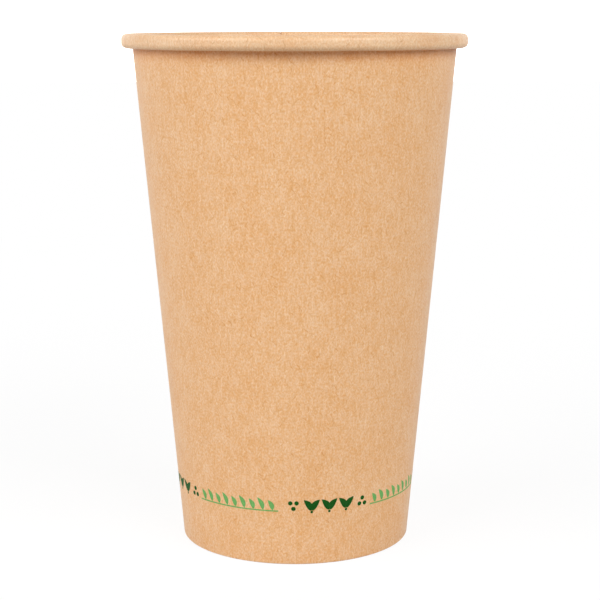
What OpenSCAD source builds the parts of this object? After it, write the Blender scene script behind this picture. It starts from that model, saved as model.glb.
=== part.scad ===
// Paper cup of 90 mm rim: a rolled-rim side wall with a lapped seam, and a base disc held in its folded hem

/* [Cup] */
// Height from the table to the top of the rim
cup_height = 134; // [90:0.5:170]
// Outer diameter of the rim
rim_diameter = 90; // [80:0.5:98]
// Outer diameter of the wall at the table
foot_diameter = 60.8; // [54:0.2:66]

/* [Board] */
// Thickness of the side wall's board
wall_board = 0.4; // [0.3:0.02:0.46]
// Thickness of the base disc's board
base_board = 0.3; // [0.24:0.02:0.5]
// Gap left between boards that are sealed together
seal_gap = 0.02; // [0.01:0.01:0.05]
// Inner radius of the board's sharpest bends
tight_bend = 0.05; // [0.03:0.01:0.08]

/* [Rim] */
// Radius of the hollow inside the rim's round corners
rim_hollow = 0.6; // [0.5:0.05:1.5]
// Flat run across the top of the rim
rim_top = 0.32; // [0.3:0.01:2]
// Straight run down the outside of the rim
rim_side = 0.9; // [0.4:0.05:2]
// Angle that the tucked edge curls on inside the rim
tuck_curl = 60; // [50:5:80]
// Gap between the tucked edge and the underside of the rim's crown
tuck_gap = 0.15; // [0.1:0.05:0.4]

/* [Seam] */
// Angle round the cup of the overlap where the blank's two edges are sealed
seam_lap = 10.5; // [8:0.5:16]
// Angle over which the upper ply comes down beside the overlap
seam_ramp = 8.5; // [6:0.5:12]
// Share of the board's thickness that is left to come down at the start of that
ramp_start = 0.5; // [0.3:0.05:0.55]
// Direction of the seam, seen from above
seam_angle = 90; // [0:5:355]

/* [Foot] */
// Height of the floor's underside above the table
recess = 9; // [8:0.5:14]
// Outer radius of the bend between the floor and its skirt
floor_bend = 0.9; // [0.7:0.1:2]
// Gap between the hem's edge and the start of that bend
hem_edge_gap = 0.5; // [0.2:0.1:3]
// Gap between the skirt's lower edge and the hem's fold
skirt_gap = 0.3; // [0.1:0.05:0.8]

/* [Hidden] */
rim_r = rim_diameter / 2;
foot_r = foot_diameter / 2;
floor_z = recess + base_board;
bend_step = 15;
ramp_slices = 3;
ply_inset = 0.01;
zone_overlap = 0.25;
kraft = [0.9, 0.72, 0.53];

// The coated face of the wall is a cone, and the board lies on its outer side
// and meets the rim's first bend at a tangent
rim_bend = 2 * wall_board + rim_hollow;
rim_height = 2 * rim_bend + rim_side;
face_foot_r = foot_r - wall_board;
bend_z = cup_height - rim_bend;
bend_out = rim_r - rim_bend - rim_top - face_foot_r;
lean = acos(rim_bend / norm([bend_z, bend_out])) - atan2(bend_z, bend_out);
function face_r(z) = face_foot_r + z * tan(lean);
function inside_r(z, gap) = face_r(z) - gap / cos(lean);

// A path is a list of [x, z, heading]; a step is ["run", length] or ["turn", angle, radius], left positive
function moved(at, step) =
    step[0] == "run"
        ? [at[0] + step[1] * cos(at[2]), at[1] + step[1] * sin(at[2]), at[2]]
        : let (side = sign(step[1]), to = at[2] + step[1])
          [at[0] + side * step[2] * (sin(to) - sin(at[2])), at[1] - side * step[2] * (cos(to) - cos(at[2])), to];
function part_step(step, share) = step[0] == "run" ? step : ["turn", step[1] * share, step[2]];
function pieces_of(step) = step[0] == "run" ? 1 : ceil(abs(step[1]) / bend_step);
function walk(at, steps, i = 0) =
    i == len(steps)
        ? []
        : concat(
            [for (k = [1 : pieces_of(steps[i])]) moved(at, part_step(steps[i], k / pieces_of(steps[i])))],
            walk(moved(at, steps[i]), steps, i + 1));
function path(at, steps) = concat([at], walk(at, steps));
function last(list) = list[len(list) - 1];

// Points beside a path, to its right by a distance
function beside(line, distance) = [for (p = line) [p[0] + distance * sin(p[2]), p[1] - distance * cos(p[2])]];
function reversed(list) = [for (i = [len(list) - 1 : -1 : 0]) list[i]];
function outline(line, near, far) = concat(beside(line, near), reversed(beside(line, far)));

// The wall's path starts at the hem's edge and ends inside the rim; share is 1 where two plies lie, 0 elsewhere
fold_gap = base_board + 2 * seal_gap;
fold_flat = (fold_gap - 2 * tight_bend) / cos(lean);
tuck_bend = 2 * wall_board + tight_bend;
function fold_z(share) = (1 + share) * wall_board;
function fold_x(share) = face_r(fold_z(share) + tight_bend * (1 - sin(lean))) - tight_bend * cos(lean);
hem_top_z = floor_z - floor_bend - hem_edge_gap;
hem_run = (hem_top_z - fold_z(1) - tight_bend * (1 + sin(lean))) / cos(lean);
function hem_steps(inset) = [
    ["run", hem_run - inset],
    ["turn", 90 + lean, tight_bend],
    ["run", fold_flat]];
function hem_start(share, inset) =
    let (shift = last(path([0, 0, -90 - lean], hem_steps(inset))))
    [fold_x(share) - shift[0], fold_z(share) - shift[1], -90 - lean];
function wall_run(share) =
    (cup_height - (rim_bend + tight_bend) * (1 - sin(lean)) - fold_z(share)) / cos(lean);
function under_run(share) =
    rim_r - rim_bend
    - face_r(cup_height - rim_height + tuck_bend)
    - (tuck_bend + (1 + share) * wall_board + seal_gap) / cos(lean);
tuck_run = (rim_height - 2 * wall_board - tuck_gap - tuck_bend * (1 + sin(lean + tuck_curl))) / cos(lean);
function wall_path(share, inset) = path(
    hem_start(share, inset),
    concat(hem_steps(inset), [
        ["turn", 90 - lean, tight_bend],
        ["run", wall_run(share)],
        ["turn", lean - 90, rim_bend],
        ["run", rim_top],
        ["turn", -90, rim_bend],
        ["run", rim_side],
        ["turn", -90, rim_bend],
        ["run", under_run(share)],
        ["turn", -90 - lean, tuck_bend],
        ["run", tuck_run],
        ["turn", -tuck_curl + inset / tuck_bend * 180 / PI, tuck_bend]]));

// The board's section, from the ply that is nearest the face; inset draws all its edges in
function wall_outline(share, first_ply, last_ply, inset) =
    outline(wall_path(share, inset), first_ply * wall_board + inset, last_ply * wall_board - inset);

// Angles round the axis: the lap of two plies, then the ramp where the upper ply comes down to one
lap_end = seam_angle + seam_lap / 2;
ramp_end = lap_end + seam_ramp;
ramp_part = seam_ramp / ramp_slices;

module swept(from, angle, points) {
    rotate_extrude(start = from, angle = angle, $fn = 240)
    polygon(points);
}

module side_wall() {
    color(kraft)
    union() {
        swept(ramp_end, 360 - seam_lap - seam_ramp, wall_outline(0, 0, 1, 0));
        swept(lap_end - seam_lap - zone_overlap, seam_lap + 2 * zone_overlap, wall_outline(1, 0, 2, ply_inset));
        for (i = [0 : ramp_slices - 1]) {
            share = ramp_start * (1 - i / ramp_slices);
            swept(lap_end + i * ramp_part, ramp_part + zone_overlap, wall_outline(share, share, share + 1, 0));
        }
    }
}

// The disc is drawn in along its upper face, then turned down into the skirt
skirt_end_z = fold_z(1) + skirt_gap;
base_path = path([0, floor_z, 0], [
    ["run", inside_r(floor_z - floor_bend, floor_bend + seal_gap)],
    ["turn", -90 - lean, floor_bend],
    ["run", (floor_z - floor_bend * (1 + sin(lean)) - skirt_end_z) / cos(lean)]]);

module base_disc() {
    color(kraft)
    rotate_extrude($fn = 240)
    polygon(outline(base_path, 0, base_board));
}

side_wall();
base_disc();
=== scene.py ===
import bpy
import math
from mathutils import Matrix, Vector


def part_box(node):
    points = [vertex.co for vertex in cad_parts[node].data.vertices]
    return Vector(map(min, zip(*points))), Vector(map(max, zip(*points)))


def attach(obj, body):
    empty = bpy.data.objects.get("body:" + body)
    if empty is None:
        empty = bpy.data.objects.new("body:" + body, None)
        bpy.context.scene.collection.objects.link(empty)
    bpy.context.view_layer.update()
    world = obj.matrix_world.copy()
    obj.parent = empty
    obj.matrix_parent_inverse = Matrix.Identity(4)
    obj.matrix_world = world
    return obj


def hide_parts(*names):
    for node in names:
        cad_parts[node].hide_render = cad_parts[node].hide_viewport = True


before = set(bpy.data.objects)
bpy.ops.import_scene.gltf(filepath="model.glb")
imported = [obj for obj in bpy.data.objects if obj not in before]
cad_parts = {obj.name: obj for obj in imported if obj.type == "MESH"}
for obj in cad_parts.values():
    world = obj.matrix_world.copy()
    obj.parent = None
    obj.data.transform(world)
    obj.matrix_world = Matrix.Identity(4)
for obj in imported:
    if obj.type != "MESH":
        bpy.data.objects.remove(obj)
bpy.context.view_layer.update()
mm = 0.001
root = "root"


# Camera: worked out from the photograph's outline of the rim and foot
shot = {
    "distance": 421.89,  # mm in front of the cup's axis
    "height": 138.61,
    "tilt": 0.1763,  # radians down
    "yaw": 0.003,
    "roll": -0.0017,
    "lens": 95.919,
    "sensor": 36.0,
    "nearest": 0.01,  # metres
}


def placeCamera(name, shot):
    forward = Vector((0, math.cos(shot["tilt"]), -math.sin(shot["tilt"])))
    up = Vector((0, math.sin(shot["tilt"]), math.cos(shot["tilt"])))
    right = Vector((1, 0, 0))
    forward, right = (forward + shot["yaw"] * right).normalized(), (right - shot["yaw"] * forward).normalized()
    s = math.sin(shot["roll"])
    c = math.cos(shot["roll"])
    right, up = c * right + s * up, c * up - s * right
    data = bpy.data.cameras.new(name)
    data.lens = shot["lens"]
    data.sensor_width = shot["sensor"]
    data.clip_start = shot["nearest"]
    camera = bpy.data.objects.new(name, data)
    bpy.context.scene.collection.objects.link(camera)
    turn = Matrix((right, up, -forward)).transposed().to_4x4()
    camera.matrix_world = Matrix.Translation((0, -shot["distance"] * mm, shot["height"] * mm)) @ turn
    bpy.context.scene.camera = camera


placeCamera("studioCamera", shot)
print("stage: camera placed")


# The board's path through the wall, as in the CAD: hem, fold, wall, rim, tucked edge (mm and degrees)
wallSizes = {
    "board": 0.4,
    "baseBoard": 0.3,
    "sealGap": 0.02,
    "tightBend": 0.05,
    "footRadius": 30.4,
    "rimHollow": 0.6,
    "rimTop": 0.32,
    "rimSide": 0.9,
    "tuckCurl": 60,
    "tuckGap": 0.15,
    "recess": 9.0,
    "floorBend": 0.9,
    "hemEdgeGap": 0.5,
    "skirtGap": 0.3,
    "seamAngle": 90,
    "seamLap": 10.5,
    "seamRamp": 8.5,
    "rimRamp": 0.35,  # the same at the rim, where the plies are rolled tight
    "rimRampStart": 13.0,  # below the rim's top, and the height in which the ramp narrows
    "rimRampFade": 8.0,
    "seamSettle": 9.0,  # degrees in which the inner ply's folds come down beside the lap
    "plyGap": 0.012,
    "knurls": 72,  # pressed flutes round the hem
    "knurlDepth": 0.07,
    "knurlFade": 0.6,  # share of that depth that each row adds, in from the hem's two ends
}
wallParts = {"hem": 9, "fold": 6, "wall": 26, "rim": 12, "tuck": 8, "curl": 5}  # rows along each run or bend
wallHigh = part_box("side_wall")[1]
cupHeight = wallHigh.z / mm
rimRadius = wallHigh.x / mm
board = wallSizes["board"]
tight = wallSizes["tightBend"]
rimBend = 2 * board + wallSizes["rimHollow"]
rimHeight = 2 * rimBend + wallSizes["rimSide"]
faceFootRadius = wallSizes["footRadius"] - board
bendOut = rimRadius - rimBend - wallSizes["rimTop"] - faceFootRadius
bendUp = cupHeight - rimBend
lean = math.acos(rimBend / math.hypot(bendUp, bendOut)) - math.atan2(bendUp, bendOut)
coneReach = faceFootRadius / math.sin(lean)  # from the wall's foot to the point that its cone would end in
floorHeight = wallSizes["recess"] + wallSizes["baseBoard"]
tuckBend = 2 * board + tight
rightAngle = math.pi / 2


def faceRadius(z):
    return faceFootRadius + z * math.tan(lean)


def walk(start, steps):
    rows = [start]
    for kind, amount, radius, parts in steps:
        x, z, heading = rows[-1]
        for k in range(1, parts + 1):
            part = amount * k / parts
            if kind == "run":
                rows.append((x + part * math.cos(heading), z + part * math.sin(heading), heading))
            else:
                side = math.copysign(1, amount)
                to = heading + part
                rows.append((
                    x + side * radius * (math.sin(to) - math.sin(heading)),
                    z - side * radius * (math.cos(to) - math.cos(heading)),
                    to,
                ))
    return rows


def foldHeight(share):
    return (1 + share) * board


def hemSteps():
    foldFlat = (wallSizes["baseBoard"] + 2 * wallSizes["sealGap"] - 2 * tight) / math.cos(lean)
    hemTop = floorHeight - wallSizes["floorBend"] - wallSizes["hemEdgeGap"]
    hemRun = (hemTop - foldHeight(1) - tight * (1 + math.sin(lean))) / math.cos(lean)
    return [
        ("run", hemRun, 0, wallParts["hem"]),
        ("turn", rightAngle + lean, tight, wallParts["fold"]),
        ("run", foldFlat, 0, 1),
        ("turn", rightAngle - lean, tight, wallParts["fold"]),
    ]


hemRowCount = wallParts["hem"] + 1
wallFirstRow = wallParts["hem"] + 2 * wallParts["fold"] + 1


def wallRows(share):
    bottomX = faceRadius(foldHeight(share) + tight * (1 - math.sin(lean))) - tight * math.cos(lean)
    loose = walk((0, 0, -rightAngle - lean), hemSteps()[:3])[-1]
    start = (bottomX - loose[0], foldHeight(share) - loose[1], -rightAngle - lean)
    wallRun = (cupHeight - (rimBend + tight) * (1 - math.sin(lean)) - foldHeight(share)) / math.cos(lean)
    underRun = (
        rimRadius - rimBend - faceRadius(cupHeight - rimHeight + tuckBend)
        - (tuckBend + (1 + share) * board + wallSizes["sealGap"]) / math.cos(lean)
    )
    curl = math.radians(wallSizes["tuckCurl"])
    tuckRun = (
        rimHeight - 2 * board - wallSizes["tuckGap"] - tuckBend * (1 + math.sin(lean + curl))
    ) / math.cos(lean)
    return walk(start, hemSteps() + [
        ("run", wallRun, 0, wallParts["wall"]),
        ("turn", lean - rightAngle, rimBend, wallParts["rim"]),
        ("run", wallSizes["rimTop"], 0, 1),
        ("turn", -rightAngle, rimBend, wallParts["rim"]),
        ("run", wallSizes["rimSide"], 0, 1),
        ("turn", -rightAngle, rimBend, wallParts["rim"]),
        ("run", underRun, 0, 1),
        ("turn", -rightAngle - lean, tuckBend, wallParts["tuck"]),
        ("run", tuckRun, 0, 1),
        ("turn", -curl, tuckBend, wallParts["curl"]),
    ])


def ease(t):
    t = min(1, max(0, t))
    return t * t * (3 - 2 * t)


seamEnd = wallSizes["seamAngle"] + wallSizes["seamLap"] / 2  # the inner ply's cut edge, where the blank starts
seamStart = seamEnd - wallSizes["seamLap"]  # the outer ply's cut edge
innerEdge = seamEnd - 360  # the inner ply's cut edge, met again after one turn
blankEnd = seamStart - 360


# How far the board is folded over two plies at an angle of the blank, and how far it is lifted onto
# the other ply there
def foldShare(angle):
    if angle >= seamStart:
        return 1
    if angle > seamStart - wallSizes["seamSettle"]:
        return 1 - ease((seamStart - angle) / wallSizes["seamSettle"])
    return ease((innerEdge + wallSizes["seamRamp"] - angle) / wallSizes["seamRamp"])


def seamLift(angle, height):
    if angle > seamStart - 180:
        return 0
    atRim = ease((height - (cupHeight - wallSizes["rimRampStart"])) / wallSizes["rimRampFade"])
    width = wallSizes["seamRamp"] + (wallSizes["rimRamp"] - wallSizes["seamRamp"]) * atRim
    return ease((innerEdge + width - angle) / width)


def blankAngles():
    marks = [  # each with the number of columns up to the next
        (seamEnd, 14),
        (seamStart, 12),
        (seamStart - wallSizes["seamSettle"], 336),
        (innerEdge + wallSizes["seamRamp"], 18),
        (innerEdge + wallSizes["rimRamp"], 5),
        (innerEdge, 14),
        (blankEnd, 0),
    ]
    angles = []
    for (a, parts), (b, _) in zip(marks, marks[1:]):
        angles += [a + (b - a) * k / parts for k in range(parts)]
    return angles + [blankEnd]


# The flat blank that the wall is rolled from, in mm: the grain of the board is laid out on it
blankShifts = {"coated": 500, "cut": 250, "disc": 900}  # mm, so that no two faces show the same patch


def blankPlace(angle, length):
    reach = coneReach + length
    turn = math.radians(angle + 90) * math.sin(lean)
    return reach * math.sin(turn), reach * math.cos(turn) - coneReach


def rowLengths(rows, zeroRow):
    lengths = [0]
    for a, b in zip(rows, rows[1:]):
        lengths.append(lengths[-1] + math.hypot(b[0] - a[0], b[1] - a[1]))
    return [length - lengths[zeroRow] for length in lengths]


# Each face is given as its corners, its material's number, its places on the blank and those on the
# baked picture
def makeMesh(name, points, faces, materials, cuts=(), smooth=True):
    corners, slots, blank, baked = zip(*faces)
    mesh = bpy.data.meshes.new(name)
    mesh.from_pydata([(x * mm, y * mm, z * mm) for x, y, z in points], [], list(corners))
    mesh.polygons.foreach_set("material_index", slots)
    mesh.polygons.foreach_set("use_smooth", [smooth] * len(faces))
    for layerName, places in (("blank", blank), ("OFBake", baked)):
        if places[0]:
            layer = mesh.uv_layers.new(name=layerName, do_init=False)
            layer.data.foreach_set("uv", [v for face in places for corner in face for v in corner])
    if cuts:
        edges = {tuple(sorted(e.vertices)): e.index for e in mesh.edges}
        sharp = [False] * len(mesh.edges)
        for pair in cuts:
            sharp[edges[tuple(sorted(pair))]] = True
        layer = mesh.attributes.new("sharp_edge", "BOOLEAN", "EDGE")
        layer.data.foreach_set("value", sharp)
    for material in materials:
        mesh.materials.append(material)
    mesh.validate()
    thing = bpy.data.objects.new(name, mesh)
    bpy.context.scene.collection.objects.link(thing)
    return thing


boardBake = {  # where the faces and the cut edges of a strip lie on its baked picture
    "start": 0.004,
    "width": 0.992,
    "bareFoot": 0.004,
    "coatedFoot": 0.51,
    "faceHeight": 0.486,
    "longCuts": 0.4935,
    "endCuts": 0.5005,
    "cutStep": 0.0035,
    "cutHeight": 0.003,
}


# A strip of board: a grid of its coated face and one of its bare face, joined by the cut edges all round
def makeBoard(name, columns, nearGrid, farGrid, lengths, places, materials):
    rowCount = len(nearGrid[0])
    lastColumn = len(columns) - 1
    lastRow = rowCount - 1
    points = [p for grid in (nearGrid, farGrid) for column in grid for p in column]
    far = len(columns) * rowCount
    faces = []
    cuts = []

    def across(c):
        return boardBake["start"] + boardBake["width"] * (columns[0] - columns[c]) / (columns[0] - columns[-1])

    def upward(r, start, height):
        return start + height * (lengths[r] - lengths[0]) / (lengths[-1] - lengths[0])

    def addFace(spots, start, slot, shift, foot):
        faces.append((
            [start + c * rowCount + r for c, r in spots],
            slot,
            [places(c, r, shift) for c, r in spots],
            [(across(c), upward(r, foot, boardBake["faceHeight"])) for c, r in spots],
        ))

    def addCut(corners, blank, baked, flip):
        order = -1 if flip else 1
        faces.append((corners[::order], 2, blank[::order], baked[::order]))

    for c in range(lastColumn):
        for r in range(lastRow):
            spots = [(c, r), (c, r + 1), (c + 1, r + 1), (c + 1, r)]
            addFace(spots, 0, 1, blankShifts["coated"], boardBake["coatedFoot"])
            addFace(spots[::-1], far, 0, 0, boardBake["bareFoot"])
        for strip, r in enumerate((0, lastRow)):
            a, b = c * rowCount + r, (c + 1) * rowCount + r
            (ax, ay), (bx, by) = places(c, r, blankShifts["cut"]), places(c + 1, r, blankShifts["cut"])
            low = boardBake["longCuts"] + boardBake["cutStep"] * strip
            high = low + boardBake["cutHeight"]
            baked = [(across(c), low), (across(c + 1), low), (across(c + 1), high), (across(c), high)]
            addCut([a, b, far + b, far + a], [(ax, ay), (bx, by), (bx, by + board), (ax, ay + board)], baked, r)
            cuts += [(a, b), (far + a, far + b)]
    for strip, c in enumerate((0, lastColumn)):
        for r in range(lastRow):
            a, b = c * rowCount + r, c * rowCount + r + 1
            (ax, ay), (bx, by) = places(c, r, blankShifts["cut"]), places(c, r + 1, blankShifts["cut"])
            low = boardBake["endCuts"] + boardBake["cutStep"] * strip
            high = low + boardBake["cutHeight"]
            ua, ub = (upward(i, boardBake["start"], boardBake["width"]) for i in (r, r + 1))
            baked = [(ua, low), (ua, high), (ub, high), (ub, low)]
            addCut([a, far + a, far + b, b], [(ax, ay), (ax + board, ay), (bx + board, by), (bx, by)], baked, c)
            cuts += [(a, b), (far + a, far + b)]
    return makeMesh(name, points, faces, materials, cuts)


def spin(angle, x, z):
    turn = math.radians(angle)
    return x * math.cos(turn), x * math.sin(turn), z


def beside(row, distance):
    return row[0] + distance * math.sin(row[2]), row[1] - distance * math.cos(row[2])


def fluteDepth(angle, row):
    if not 0 < row < hemRowCount - 1:
        return 0
    wave = 0.5 - 0.5 * math.cos(math.radians(angle * wallSizes["knurls"]))
    fade = wallSizes["knurlFade"]
    return wallSizes["knurlDepth"] * wave * min(1, fade * row, fade * (hemRowCount - 1 - row))


def buildWall(materials):
    columns = blankAngles()
    lengths = rowLengths(wallRows(0), wallFirstRow)
    rowsFor = {}
    nearGrid = []
    farGrid = []
    for angle in columns:
        share = foldShare(angle)
        if share not in rowsFor:
            rowsFor[share] = wallRows(share)
        nearColumn = []
        farColumn = []
        for index, row in enumerate(rowsFor[share]):
            lift = seamLift(angle, row[1])
            near = lift * (board + wallSizes["plyGap"])
            thick = board - lift * wallSizes["plyGap"]
            nearColumn.append(spin(angle, *beside(row, near)))
            farColumn.append(spin(angle, *beside(row, near + thick - fluteDepth(angle, index))))
        nearGrid.append(nearColumn)
        farGrid.append(farColumn)

    def places(c, r, shift):
        u, v = blankPlace(columns[c], lengths[r])
        return u + shift, v

    wall = makeBoard("wallBoard", columns, nearGrid, farGrid, lengths, places, materials)
    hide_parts("side_wall")
    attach(wall, root)
    print("stage: wall board, faces", len(wall.data.polygons))


baseSizes = {
    "columns": 240,
    "firstRing": 0.4,  # mm from the middle, and then between the floor's rings
    "ringStep": 2.4,
    "bendParts": 10,
    "skirtParts": 6,
}
discBake = {  # where the two faces and the cut edge of a disc lie on its baked picture
    "coatedMiddle": 0.25,
    "bareMiddle": 0.75,
    "height": 0.5,
    "radius": 0.235,
    "cutStart": 0.01,
    "cutWidth": 0.98,
    "cutFoot": 0.1,
    "cutTop": 0.11,
    "cutStretch": 1.01,  # how far out the cut edge's far side is laid on the blank
}


# A disc of board: its two faces are closed at the middle, and its rim is the only cut
def makeDisc(name, nearGrid, farGrid, places, materials):
    rowCount = len(nearGrid[0])
    count = len(nearGrid)
    rim = rowCount - 1
    points = [p for grid in (nearGrid, farGrid) for column in grid for p in column]
    far = count * rowCount
    reach = max(abs(places(c, rim)[0]) for c in range(count))
    scale = discBake["radius"]
    sides = (
        (0, 1, blankShifts["coated"], discBake["coatedMiddle"], 1),
        (far, 0, 0, discBake["bareMiddle"], -1),
    )
    faces = []
    cuts = []

    def bake(u, v, middle):
        return middle + scale * u / reach, discBake["height"] + scale * (v - blankShifts["disc"]) / reach

    def addFaces(spots):
        for start, slot, shift, middle, order in sides:
            turned = spots[::order]
            flat = [places(c, r) for c, r in turned]
            faces.append((
                [start + c * rowCount + r for c, r in turned],
                slot,
                [(u + shift, v) for u, v in flat],
                [bake(u, v, middle) for u, v in flat],
            ))

    for c in range(count):
        d = (c + 1) % count
        for r in range(rim):
            addFaces([(c, r), (c, r + 1), (d, r + 1), (d, r)])
        a, b = c * rowCount + rim, d * rowCount + rim
        (ax, ay), (bx, by) = places(c, rim), places(d, rim)
        ua, ub = (discBake["cutStart"] + discBake["cutWidth"] * k / count for k in (c, c + 1))
        low, high, out = discBake["cutFoot"], discBake["cutTop"], discBake["cutStretch"]
        faces.append((
            [a, far + a, far + b, b],
            2,
            [(ax, ay), (ax * out, ay), (bx * out, by), (bx, by)],
            [(ua, low), (ua, high), (ub, high), (ub, low)],
        ))
        cuts += [(a, b), (far + a, far + b)]
    addFaces([(c, 0) for c in range(count)])
    return makeMesh(name, points, faces, materials, cuts)


def buildBase(materials):
    bend = wallSizes["floorBend"]
    inside = faceRadius(floorHeight - bend) - (bend + wallSizes["sealGap"]) / math.cos(lean)
    skirtEnd = foldHeight(1) + wallSizes["skirtGap"]
    skirtRun = (floorHeight - bend * (1 + math.sin(lean)) - skirtEnd) / math.cos(lean)
    first = baseSizes["firstRing"]
    rows = walk((first, floorHeight, 0), [
        ("run", inside - first, 0, round(inside / baseSizes["ringStep"])),
        ("turn", -rightAngle - lean, bend, baseSizes["bendParts"]),
        ("run", skirtRun, 0, baseSizes["skirtParts"]),
    ])
    lengths = [first + length for length in rowLengths(rows, 0)]
    columns = [-360 * k / baseSizes["columns"] for k in range(baseSizes["columns"])]
    nearGrid = [[spin(a, *beside(row, 0)) for row in rows] for a in columns]
    farGrid = [[spin(a, *beside(row, wallSizes["baseBoard"])) for row in rows] for a in columns]

    def places(c, r):
        turn = math.radians(columns[c])
        return lengths[r] * math.cos(turn), lengths[r] * math.sin(turn) + blankShifts["disc"]

    disc = makeDisc("baseBoard", nearGrid, farGrid, places, materials)
    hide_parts("base_disc")
    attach(disc, root)
    print("stage: base board, faces", len(disc.data.polygons))


# Node helpers: sockets and plain numbers both go in as values
def put(tree, socket, value):
    if isinstance(value, bpy.types.NodeSocket):
        tree.links.new(value, socket)
    elif value is not None:
        socket.default_value = value


def calc(tree, operation, a, b=None, c=None, clamp=False):
    node = tree.nodes.new("ShaderNodeMath")
    node.operation = operation
    node.use_clamp = clamp
    for socket, value in zip(node.inputs, (a, b, c)):
        put(tree, socket, value)
    return node.outputs[0]


def calcVector(tree, operation, a, b=None, scale=None):
    node = tree.nodes.new("ShaderNodeVectorMath")
    node.operation = operation
    put(tree, node.inputs[0], a)
    put(tree, node.inputs[1], b)
    if scale is not None:
        put(tree, node.inputs["Scale"], scale)
    return node.outputs["Value" if operation == "LENGTH" else "Vector"]


def ramp(tree, value, fromLow, fromHigh, toLow=0.0, toHigh=1.0):
    node = tree.nodes.new("ShaderNodeMapRange")
    node.interpolation_type = "SMOOTHSTEP"
    for socket, number in zip(node.inputs, (value, fromLow, fromHigh, toLow, toHigh)):
        put(tree, socket, number)
    return node.outputs["Result"]


def blend(tree, share, a, b, kind="MIX"):
    node = tree.nodes.new("ShaderNodeMix")
    node.data_type = "RGBA"
    node.blend_type = kind
    put(tree, node.inputs["Factor"], share)
    put(tree, node.inputs[6], a)
    put(tree, node.inputs[7], b)
    return node.outputs[2]


def cloudNoise(tree, vector, stretch, detail=2.0, roughness=0.5, distortion=0.0):
    node = tree.nodes.new("ShaderNodeTexNoise")
    node.noise_dimensions = "2D"
    put(tree, node.inputs["Vector"], calcVector(tree, "MULTIPLY", vector, stretch))
    put(tree, node.inputs["Scale"], 1.0)
    put(tree, node.inputs["Detail"], detail)
    put(tree, node.inputs["Roughness"], roughness)
    put(tree, node.inputs["Distortion"], distortion)
    return node.outputs


def newGroup(name, ins, outs):
    tree = bpy.data.node_groups.new(name, "ShaderNodeTree")
    for side, sockets in (("INPUT", ins), ("OUTPUT", outs)):
        for label, kind in sockets.items():
            tree.interface.new_socket(name=label, in_out=side, socket_type="NodeSocket" + kind)
    return tree, tree.nodes.new("NodeGroupInput").outputs, tree.nodes.new("NodeGroupOutput").inputs


def useGroup(tree, group, **values):
    node = tree.nodes.new("ShaderNodeGroup")
    node.node_tree = group
    for label, value in values.items():
        put(tree, node.inputs[label], value)
    return node.outputs


# Single curved fibres: one in each cell of a scattered grid, turned, bent and cut to length by the
# cell's own random colour
fibreShape = {
    "swayNoise": ((0.45, 0.45, 1), 1.0),
    "sway": 1.1,  # mm
    "scatter": 0.9,
    "half": (0.2, 0.4),  # half a fibre's length at least, and what chance adds, as shares of the kind's length
    "endFade": 0.6,
    "sideFade": 0.3,
    "coverFade": 0.4,
    "shuffle": 7.31,
}
fibreKinds = {  # Cell, Length, Width and Shift in mm, Curl per mm, Upright and Cover as shares
    "long": dict(Cell=5.5, Length=4.0, Width=0.15, Curl=0.7, Upright=0.15, Shift=3.7, Cover=0.5),
    "short": dict(Cell=1.9, Length=2.0, Width=0.14, Curl=1.0, Upright=0.3, Shift=41.3, Cover=0.42),
    "pale": dict(Cell=1.4, Length=1.5, Width=0.16, Curl=0.8, Upright=0.5, Shift=97.1, Cover=0.8),
}


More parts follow.
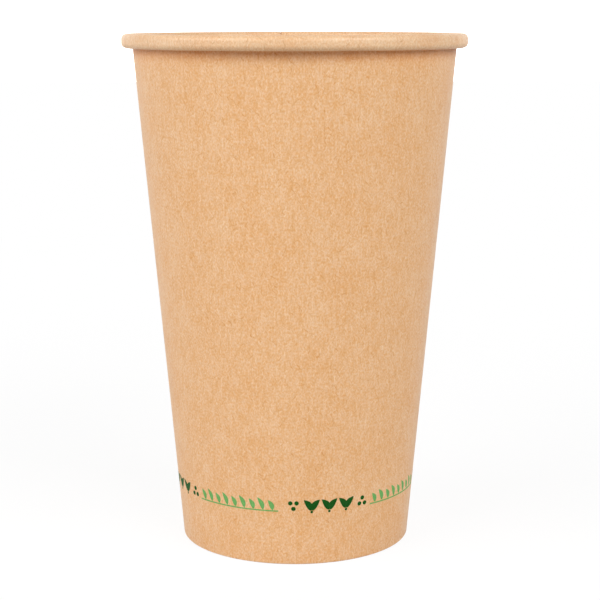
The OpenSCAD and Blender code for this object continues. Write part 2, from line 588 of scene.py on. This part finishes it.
def fibreGroup():
    inputs = {"Vector": "Vector", **{label: "Float" for label in fibreKinds["long"]}}
    tree, given, result = newGroup("boardFibres", inputs, {"Mask": "Float"})
    stretch, detail = fibreShape["swayNoise"]
    sway = cloudNoise(tree, given["Vector"], stretch, detail)["Color"]
    sway = calcVector(tree, "SUBTRACT", sway, (0.5, 0.5, 0.5))
    sway = calcVector(tree, "SCALE", sway, scale=fibreShape["sway"])
    moved = calcVector(tree, "ADD", calcVector(tree, "ADD", given["Vector"], sway), given["Shift"])
    cells = tree.nodes.new("ShaderNodeTexVoronoi")
    cells.voronoi_dimensions = "2D"
    cells.inputs["Scale"].default_value = 1.0
    cells.inputs["Randomness"].default_value = fibreShape["scatter"]
    scaled = calcVector(tree, "SCALE", moved, scale=calc(tree, "DIVIDE", 1.0, given["Cell"]))
    put(tree, cells.inputs["Vector"], scaled)
    local = calcVector(tree, "SUBTRACT", scaled, cells.outputs["Position"])
    local = calcVector(tree, "SCALE", local, scale=given["Cell"])
    dice = tree.nodes.new("ShaderNodeSeparateColor")
    put(tree, dice.inputs[0], cells.outputs["Color"])
    spread = calc(tree, "MULTIPLY", calc(tree, "SUBTRACT", 1.0, given["Upright"]), math.pi)
    angle = calc(tree, "MULTIPLY_ADD", calc(tree, "SUBTRACT", dice.outputs[0], 0.5), spread, -rightAngle)
    turned = tree.nodes.new("ShaderNodeVectorRotate")
    turned.rotation_type = "Z_AXIS"
    put(tree, turned.inputs["Vector"], local)
    put(tree, turned.inputs["Angle"], angle)
    axes = tree.nodes.new("ShaderNodeSeparateXYZ")
    put(tree, axes.inputs[0], turned.outputs[0])
    along = calc(tree, "ABSOLUTE", axes.outputs[0])
    bow = calc(tree, "MULTIPLY", calc(tree, "SUBTRACT", dice.outputs[1], 0.5), given["Curl"])
    bow = calc(tree, "MULTIPLY", bow, calc(tree, "MULTIPLY", along, along))
    across = calc(tree, "ABSOLUTE", calc(tree, "SUBTRACT", axes.outputs[1], bow))
    least, chance = fibreShape["half"]
    half = calc(tree, "MULTIPLY", given["Length"], calc(tree, "MULTIPLY_ADD", dice.outputs[2], chance, least))
    mask = ramp(tree, along, half, calc(tree, "MULTIPLY", half, fibreShape["endFade"]))
    width = given["Width"]
    side = ramp(tree, across, width, calc(tree, "MULTIPLY", width, fibreShape["sideFade"]))
    mask = calc(tree, "MULTIPLY", mask, side)
    pick = calc(tree, "MULTIPLY", calc(tree, "ADD", dice.outputs[0], dice.outputs[1]), fibreShape["shuffle"])
    cover = given["Cover"]
    fade = calc(tree, "MULTIPLY", cover, fibreShape["coverFade"])
    shown = ramp(tree, calc(tree, "FRACT", pick), cover, fade)
    put(tree, result["Mask"], calc(tree, "MULTIPLY", mask, shown))
    return tree


# Kraft board: cloudy tone, fine vertical grain, pale and dark fibres, and the height that goes with them
boardNoise = {  # waves per mm round and up the blank, then detail, roughness and distortion
    "fine": ((2.5, 1.7, 1), 3.0, 0.65),
    "streak": ((1.1, 0.3, 1), 2.0, 0.55),
    "blot": ((0.42, 0.26, 1), 2.0, 0.5),
    "cloud": ((0.13, 0.09, 1), 3.0, 0.5),
    "hue": ((1.5, 0.9, 1), 4.0, 0.75, 0.3),
    "crease": ((0.10, 2.4, 1), 2.0, 0.6, 0.4),
    "wave": ((0.35, 0.5, 1), 1.0, 0.4),
}
boardGrain = {
    "fine": 2.6,
    "blot": 0.9,
    "warmth": (0.15, 0.07, -0.16),
    "paleFibre": (0.93, 0.70, 0.46, 1),
    "paleShare": 0.4,
    "darkShare": 0.78,
    "longShare": 0.6,  # of that share
    "shortShare": 0.8,
    "fineHeight": 0.7,
    "paleHeight": 0.4,
    "longHeight": 0.6,
}
boardColors = ("Deep", "Pale", "Fibre")
boardGains = ("Grain", "Streak", "Cloud", "Fibres")


def boardWaves(tree, flat, kind):
    return cloudNoise(tree, flat, *boardNoise[kind])["Fac"]


def kraftGroup(fibres):
    inputs = {"Vector": "Vector"}
    inputs.update({label: "Color" for label in boardColors})
    inputs.update({label: "Float" for label in boardGains})
    tree, given, result = newGroup("kraftBoard", inputs, {"Color": "Color", "Height": "Float", "Tone": "Float"})
    flat = given["Vector"]
    waves = {kind: boardWaves(tree, flat, kind) for kind in ("fine", "streak", "blot", "cloud", "hue")}
    swing = {kind: calc(tree, "SUBTRACT", wave, 0.5) for kind, wave in waves.items()}
    tone = calc(tree, "MULTIPLY", swing["fine"], calc(tree, "MULTIPLY", given["Grain"], boardGrain["fine"]))
    tone = calc(tree, "MULTIPLY_ADD", swing["streak"], given["Streak"], tone)
    blots = calc(tree, "MULTIPLY", given["Cloud"], boardGrain["blot"])
    tone = calc(tree, "MULTIPLY_ADD", swing["blot"], blots, tone)
    tone = calc(tree, "MULTIPLY_ADD", swing["cloud"], given["Cloud"], tone)
    tone = calc(tree, "ADD", tone, 0.5, clamp=True)
    color = blend(tree, tone, given["Deep"], given["Pale"])
    warmth = calcVector(tree, "SCALE", boardGrain["warmth"], scale=swing["hue"])
    color = calcVector(tree, "MULTIPLY", color, calcVector(tree, "ADD", warmth, (1, 1, 1)))
    masks = {kind: useGroup(tree, fibres, Vector=flat, **values)["Mask"] for kind, values in fibreKinds.items()}
    paleShare = calc(tree, "MULTIPLY", given["Fibres"], boardGrain["paleShare"])
    color = blend(tree, calc(tree, "MULTIPLY", masks["pale"], paleShare), color, boardGrain["paleFibre"])
    longs = calc(tree, "MULTIPLY", masks["long"], boardGrain["longShare"])
    shorts = calc(tree, "MULTIPLY", masks["short"], boardGrain["shortShare"])
    darkShare = calc(tree, "MULTIPLY", given["Fibres"], boardGrain["darkShare"])
    dark = calc(tree, "MULTIPLY", calc(tree, "MAXIMUM", longs, shorts), darkShare)
    height = calc(tree, "MULTIPLY", masks["pale"], boardGrain["paleHeight"])
    height = calc(tree, "MULTIPLY_ADD", waves["fine"], boardGrain["fineHeight"], height)
    height = calc(tree, "MULTIPLY_ADD", masks["long"], boardGrain["longHeight"], height)
    put(tree, result["Color"], blend(tree, dark, color, given["Fibre"]))
    put(tree, result["Height"], height)
    put(tree, result["Tone"], tone)
    return tree


kraft = kraftGroup(fibreGroup())


bareLook = {
    "deep": (0.752, 0.374, 0.137, 1),
    "pale": (0.842, 0.556, 0.328, 1),
    "fibre": (0.66, 0.27, 0.06, 1),
    "grain": 1.0,
    "streak": 0.8,
    "cloud": 0.5,
    "fibres": 1.0,
    "rough": (0.60, 0.74),
    "bump": 0.018,  # mm
    "shine": 0.3,
    "fuzz": 0.4,
}
# Painted shade: the bare board is darkened and reddened just under the rim, where the roll's shadow falls
paintedRimShade = {
    "shadeTint": (0.90, 0.74, 0.64, 1),  # painted shade under the rim: a darker, redder tint multiplied into the bare board where the roll shades the wall
    "reach": (126.6, 130.2),  # mm up the blank between which it comes in
}
coatedLook = {
    "deep": (0.698, 0.378, 0.174, 1),
    "pale": (0.788, 0.541, 0.319, 1),
    "fibre": (0.55, 0.26, 0.09, 1),
    "grain": 0.9,
    "streak": 0.25,
    "cloud": 0.7,
    "fibres": 0.9,
    "rough": (0.46, 0.58),
    "bump": 0.03,
    "shine": 0.85,
    "fuzz": 0.0,
    "creaseHeight": 0.9,
    "waveHeight": 0.8,
    "boardHeight": 0.7,
}
underLook = dict(bareLook, deep=(0.70, 0.37, 0.15, 1), rough=(0.62, 0.76))
edgeLook = {
    "deep": (0.60, 0.33, 0.14, 1),
    "pale": (0.84, 0.58, 0.33, 1),
    "layers": ((6.8, 6.8, 1), 3.0, 0.6),  # noise of the fibre layers that show in a cut edge
    "contrast": (0.3, 0.7),
    "rough": 0.8,
    "bump": 0.03,
}
toneReach = (0.1, 0.9)  # the board's tone between which its roughness goes from its highest to its lowest
fuzzSpread = 0.4


def newMaterial(name):
    material = bpy.data.materials.new(name)
    material.use_nodes = True
    tree = material.node_tree
    return material, tree, tree.nodes["Principled BSDF"]


def blankCoordinates(tree):
    node = tree.nodes.new("ShaderNodeUVMap")
    node.uv_map = "blank"
    return node.outputs["UV"]


def bumpFrom(tree, shader, height, distance):
    node = tree.nodes.new("ShaderNodeBump")
    node.inputs["Distance"].default_value = distance * mm
    put(tree, node.inputs["Height"], height)
    put(tree, shader.inputs["Normal"], node.outputs["Normal"])


def setShine(shader, look):
    shader.inputs["Specular IOR Level"].default_value = look["shine"]
    shader.inputs["Sheen Weight"].default_value = look["fuzz"]
    shader.inputs["Sheen Roughness"].default_value = fuzzSpread


def layBoard(tree, flat, look):
    values = {label: look[label.lower()] for label in boardColors + boardGains}
    return useGroup(tree, kraft, Vector=flat, **values)


def roughBoard(tree, shader, tone, look):
    smoothest, roughest = look["rough"]
    put(tree, shader.inputs["Roughness"], ramp(tree, tone, *toneReach, roughest, smoothest))


def boardMaterial(name, look, rimShade=None):
    material, tree, shader = newMaterial(name)
    flat = blankCoordinates(tree)
    made = layBoard(tree, flat, look)
    color = made["Color"]
    # Painted shade: darkens and reddens the bare board towards the rim's underside
    if rimShade:
        up = calcVector(tree, "LENGTH", calcVector(tree, "ADD", flat, (0, coneReach, 0)))
        up = calc(tree, "SUBTRACT", up, coneReach)
        color = blend(tree, ramp(tree, up, *rimShade["reach"]), color, rimShade["shadeTint"], "MULTIPLY")
    put(tree, shader.inputs["Base Color"], color)
    roughBoard(tree, shader, made["Tone"], look)
    setShine(shader, look)
    bumpFrom(tree, shader, made["Height"], look["bump"])
    return material


# The film lies smooth, and follows only the board's slow waves and the creases that rolling left
def coatedMaterial(name, look):
    material, tree, shader = newMaterial(name)
    flat = blankCoordinates(tree)
    made = layBoard(tree, flat, look)
    put(tree, shader.inputs["Base Color"], made["Color"])
    roughBoard(tree, shader, made["Tone"], look)
    setShine(shader, look)
    height = calc(tree, "MULTIPLY", boardWaves(tree, flat, "wave"), look["waveHeight"])
    height = calc(tree, "MULTIPLY_ADD", boardWaves(tree, flat, "crease"), look["creaseHeight"], height)
    height = calc(tree, "MULTIPLY_ADD", made["Height"], look["boardHeight"], height)
    bumpFrom(tree, shader, height, look["bump"])
    return material


def edgeMaterial(name, look):
    material, tree, shader = newMaterial(name)
    grain = cloudNoise(tree, blankCoordinates(tree), *look["layers"])["Fac"]
    color = blend(tree, ramp(tree, grain, *look["contrast"]), look["deep"], look["pale"])
    put(tree, shader.inputs["Base Color"], color)
    shader.inputs["Roughness"].default_value = look["rough"]
    bumpFrom(tree, shader, grain, look["bump"])
    return material


# The bare kraft carries the painted shade under the rim
bareKraft = boardMaterial("bareKraft", bareLook, paintedRimShade)
coatedKraft = coatedMaterial("coatedKraft", coatedLook)
underKraft = boardMaterial("underKraft", underLook)
cutEdge = edgeMaterial("cutEdge", edgeLook)
print("stage: board materials")

buildWall([bareKraft, coatedKraft, cutEdge])
buildBase([underKraft, coatedKraft, cutEdge])


# The printed band: leaves, dots and bars of ink, bent round the wall a hair proud of it (in mm along
# and up the wall)
printLook = {
    "bandBottom": 14.6,  # height of the marks' foot
    "bandMiddle": 1.6,  # height above that foot at which a mm along the band is a true mm
    "rise": 0.016,  # how far the ink stands out of the board, and how far it reaches into it
    "sink": 0.012,
    "units": 4,
    "unitDegrees": 87.6,
    "firstDegrees": 79.0,  # where the first unit starts, just past the seam, and then clockwise
    "lightInk": (0.143, 0.389, 0.109, 1),
    "darkInk": (0.001, 0.067, 0.002, 1),
    "thinInk": (0.45, 0.95),  # tone of the board between which the ink thins
    "thinShare": 0.30,
    "thinLift": (1.5, 0.02),
    "rough": 0.6,
    "bump": 0.02,
    "shine": 0.15,
    "fuzz": 0.0,
}
sprig = {
    "start": 1.0,
    "length": 23.6,
    "thick": 0.34,
    "parts": 24,
    "leaves": 9,
    "firstLeaf": 2.4,
    "leafStep": 2.55,
    "leafFoot": 0.2,
    "leafLengths": (2.9, 3.5),  # in turn
    "leafWidth": 1.25,
    "leafTilt": 24,
}
shoots = {
    "count": 3,
    "first": 31.9,
    "step": 4.6,
    "leafApart": 0.12,
    "leafFoot": 0.1,
    "leafLength": 3.5,
    "leafWidth": 1.6,
    "leafTilt": 33,
    "seedHeight": -0.25,
    "seedSize": 0.7,
}
dots = {
    "size": 1.15,
    "apart": 0.8,
    "low": 0.7,
    "high": 2.2,
    "before": 27.2,  # where the three dots before the shoots and the three after them stand
    "after": 45.8,
}
markShape = {
    "leafParts": 12,
    "leafBow": 0.10,  # of the leaf's length
    "leafTip": 0.02,  # half width at its two ends
    "leafEarly": 0.85,  # below 1 the leaf is widest before its middle
    "leafFull": 0.8,  # below 1 it is fuller than a sine
    "dotParts": 14,
    "dotTip": 0.015,
}


def outerPoint(angle, height, proud):
    thick = (1 + seamLift(angle, height)) * board + proud
    x = faceRadius(height) + thick * math.cos(lean)
    return spin(angle, x, height - thick * math.sin(lean))


# Each mark is a spine of points with its direction and a half width at each
def leafSpine(x, y, length, width, tilt):
    spine = []
    dx, dy = math.sin(tilt), math.cos(tilt)
    for k in range(markShape["leafParts"] + 1):
        t = k / markShape["leafParts"]
        w = markShape["leafTip"]
        if 0 < t < 1:
            w = width / 2 * math.sin(math.pi * t ** markShape["leafEarly"]) ** markShape["leafFull"]
        bow = markShape["leafBow"] * length * math.sin(math.pi * t) * math.copysign(1, tilt)
        along = length * t
        spine.append((x + along * dx - bow * dy, y + along * dy + bow * dx, dx, dy, w))
    return spine


def dotSpine(x, y, size):
    spine = []
    for k in range(markShape["dotParts"] + 1):
        t = math.pi * k / markShape["dotParts"]
        w = max(markShape["dotTip"], size / 2 * math.sin(t))
        spine.append((x, y - size / 2 * math.cos(t), 0, 1, w))
    return spine


def barSpine(x, y, length, width, parts):
    return [(x + length * k / parts, y, 1, 0, width / 2) for k in range(parts + 1)]


def threeDots(x, pairHeight, oneHeight):
    places = ((-dots["apart"], pairHeight), (dots["apart"], pairHeight), (0, oneHeight))
    return [(1, dotSpine(x + dx, y, dots["size"])) for dx, y in places]


# One unit of the band, each mark with its ink: 0 light, 1 dark
def unitMarks():
    marks = [(0, barSpine(sprig["start"], 0.0, sprig["length"], sprig["thick"], sprig["parts"]))]
    for k in range(sprig["leaves"]):
        x = sprig["firstLeaf"] + sprig["leafStep"] * k
        length = sprig["leafLengths"][k % 2]
        tilt = math.radians(sprig["leafTilt"])
        marks.append((0, leafSpine(x, sprig["leafFoot"], length, sprig["leafWidth"], tilt)))
    marks += threeDots(dots["before"], dots["low"], dots["high"])
    for k in range(shoots["count"]):
        at = shoots["first"] + shoots["step"] * k
        for side in (-1, 1):
            x = at + shoots["leafApart"] * side
            tilt = math.radians(shoots["leafTilt"] * side)
            marks.append((1, leafSpine(x, shoots["leafFoot"], shoots["leafLength"], shoots["leafWidth"], tilt)))
        marks.append((1, dotSpine(at, shoots["seedHeight"], shoots["seedSize"])))
    return marks + threeDots(dots["after"], dots["high"], dots["low"])


# Four points lie at each place of a spine: proud and sunk on one side, then on the other
def spineQuads(count):
    quads = []
    for a in range(0, 4 * (count - 1), 4):
        b = a + 4
        quads += [(a, b, b + 2, a + 2), (a + 1, a + 3, b + 3, b + 1)]
        quads += [(a, a + 1, b + 1, b), (a + 2, b + 2, b + 3, a + 3)]
    end = 4 * (count - 1)
    return quads + [(0, 2, 3, 1), (end, end + 1, end + 3, end + 2)]


def buildPrint(materials):
    midRadius = faceRadius(printLook["bandBottom"] + printLook["bandMiddle"]) + board
    degreesPer = math.degrees(1 / midRadius)
    points = []
    faces = []
    for unit in range(printLook["units"]):
        start = printLook["firstDegrees"] - unit * printLook["unitDegrees"]
        for ink, spine in unitMarks():
            first = len(points)
            spots = []
            for x, y, dx, dy, w in spine:
                for side in (-1, 1):
                    angle = start - (x + side * w * dy) * degreesPer
                    v = y - side * w * dx
                    height = printLook["bandBottom"] + v * math.cos(lean)
                    for proud in (printLook["rise"], -printLook["sink"]):
                        points.append(outerPoint(angle, height, proud))
                        spots.append(blankPlace(angle, v + printLook["bandBottom"]))
            for quad in spineQuads(len(spine)):
                faces.append(([first + i for i in quad], ink, [spots[i] for i in quad], None))
    band = makeMesh("printedBand", points, faces, materials, smooth=False)
    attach(band, root)
    print("stage: printed band, faces", len(faces))


# The ink lies thinner on the board's pale fibres
def inkMaterial(name, ink):
    material, tree, shader = newMaterial(name)
    made = layBoard(tree, blankCoordinates(tree), bareLook)
    thin = ramp(tree, made["Tone"], *printLook["thinInk"], 0.0, printLook["thinShare"])
    gain, lift = printLook["thinLift"]
    lighter = tuple(min(1, v * gain + lift) for v in ink[:3]) + (1,)
    put(tree, shader.inputs["Base Color"], blend(tree, thin, ink, lighter))
    shader.inputs["Roughness"].default_value = printLook["rough"]
    setShine(shader, printLook)
    bumpFrom(tree, shader, made["Height"], printLook["bump"])
    return material


lightInk = inkMaterial("lightGreenInk", printLook["lightInk"])
darkInk = inkMaterial("darkGreenInk", printLook["darkInk"])
buildPrint([lightInk, darkInk])


# Studio: a white floor, two soft boxes in front, narrow cards at the sides and a pale dome behind
studio = {
    "surround": (0.03, 2.4),  # world light from the front, and from low behind the cup
    "domeBack": (0.4, 0.95),  # how far back and how far up the dome comes in, as parts of a direction
    "domeUp": (0.7, 0.2),
    "floorSpread": 6.0,
    "floorColor": 0.6,
    "floorNear": (0.8, 1.12),  # share and strength of the white seen beside the cup; far away it is plain white
    "floorFar": (0.15, 0.6),  # metres from the cup between which it turns to that
    "aim": (0, 0, 0.07),
    "lamps": {  # degrees round the cup from its front (left is minus), degrees up, metres away, size, watts
        "softBoxLeft": (-57, 32, 3.2, (2.7, 1.8), 73.5),
        "softBoxRight": (42, 33, 3.2, (2.7, 1.8), 81.0),
        "cardLeft": (-92, 6, 1.2, (0.5, 0.6), 2.4),
        "cardRight": (95, 25, 1.2, (0.5, 0.8), 0.7),
    },
}


def areaLamp(name, around, up, distance, size, power):
    aim = Vector(studio["aim"])
    flat = distance * math.cos(math.radians(up))
    turn = math.radians(around)
    place = Vector((flat * math.sin(turn), -flat * math.cos(turn), distance * math.sin(math.radians(up)))) + aim
    data = bpy.data.lights.new(name, "AREA")
    data.shape = "RECTANGLE"
    data.size, data.size_y = size
    data.energy = power
    lamp = bpy.data.objects.new(name, data)
    bpy.context.scene.collection.objects.link(lamp)
    lamp.location = place
    lamp.rotation_euler = (aim - place).to_track_quat("-Z", "Y").to_euler()


# 1 where the camera, a reflection or clear material looks at the surroundings, 0 where light falls on the cup
def lookedAt(tree):
    paths = tree.nodes.new("ShaderNodeLightPath")
    seen = calc(tree, "MAXIMUM", paths.outputs["Is Camera Ray"], paths.outputs["Is Glossy Ray"])
    return calc(tree, "MAXIMUM", seen, paths.outputs["Is Transmission Ray"])


def floorMaterial():
    material = bpy.data.materials.new("whiteFloor")
    material.use_nodes = True
    tree = material.node_tree
    tree.nodes.clear()
    diffuse = tree.nodes.new("ShaderNodeBsdfDiffuse")
    diffuse.inputs["Color"].default_value = (studio["floorColor"],) * 3 + (1,)
    glow = tree.nodes.new("ShaderNodeEmission")
    glow.inputs["Color"].default_value = (1, 1, 1, 1)
    spot = tree.nodes.new("ShaderNodeTexCoord")
    away = ramp(tree, calcVector(tree, "LENGTH", spot.outputs["Object"]), *studio["floorFar"])
    share, strength = studio["floorNear"]
    put(tree, glow.inputs["Strength"], calc(tree, "MULTIPLY_ADD", away, 1 - strength, strength))
    mixer = tree.nodes.new("ShaderNodeMixShader")
    share = calc(tree, "MULTIPLY_ADD", away, 1 - share, share)
    put(tree, mixer.inputs[0], calc(tree, "MULTIPLY", lookedAt(tree), share))
    put(tree, mixer.inputs[1], diffuse.outputs[0])
    put(tree, mixer.inputs[2], glow.outputs[0])
    out = tree.nodes.new("ShaderNodeOutputMaterial")
    put(tree, out.inputs["Surface"], mixer.outputs[0])
    return material


def buildFloor():
    half = studio["floorSpread"] / 2
    corners = [(-half, -half, 0), (half, -half, 0), (half, half, 0), (-half, half, 0)]
    mesh = bpy.data.meshes.new("floor")
    mesh.from_pydata(corners, [], [(0, 1, 2, 3)])
    mesh.materials.append(floorMaterial())
    floor = bpy.data.objects.new("floor", mesh)
    bpy.context.scene.collection.objects.link(floor)


def buildSky():
    world = bpy.data.worlds.new("whiteStudio")
    bpy.context.scene.world = world
    world.use_nodes = True
    tree = world.node_tree
    tree.nodes.clear()
    ways = tree.nodes.new("ShaderNodeSeparateXYZ")
    put(tree, ways.inputs[0], tree.nodes.new("ShaderNodeTexCoord").outputs["Generated"])
    back = ramp(tree, ways.outputs[1], *studio["domeBack"])
    behind = calc(tree, "MULTIPLY", back, ramp(tree, ways.outputs[2], *studio["domeUp"]))
    dome = ramp(tree, behind, 0.0, 1.0, *studio["surround"])
    sky = tree.nodes.new("ShaderNodeBackground")
    put(tree, sky.inputs["Color"], (1, 1, 1, 1))
    put(tree, sky.inputs["Strength"], calc(tree, "MAXIMUM", lookedAt(tree), dome))
    out = tree.nodes.new("ShaderNodeOutputWorld")
    put(tree, out.inputs["Surface"], sky.outputs[0])


buildFloor()
buildSky()
for name, values in studio["lamps"].items():
    areaLamp(name, *values)
bpy.context.scene.view_settings.view_transform = "Standard"
print("stage: studio")
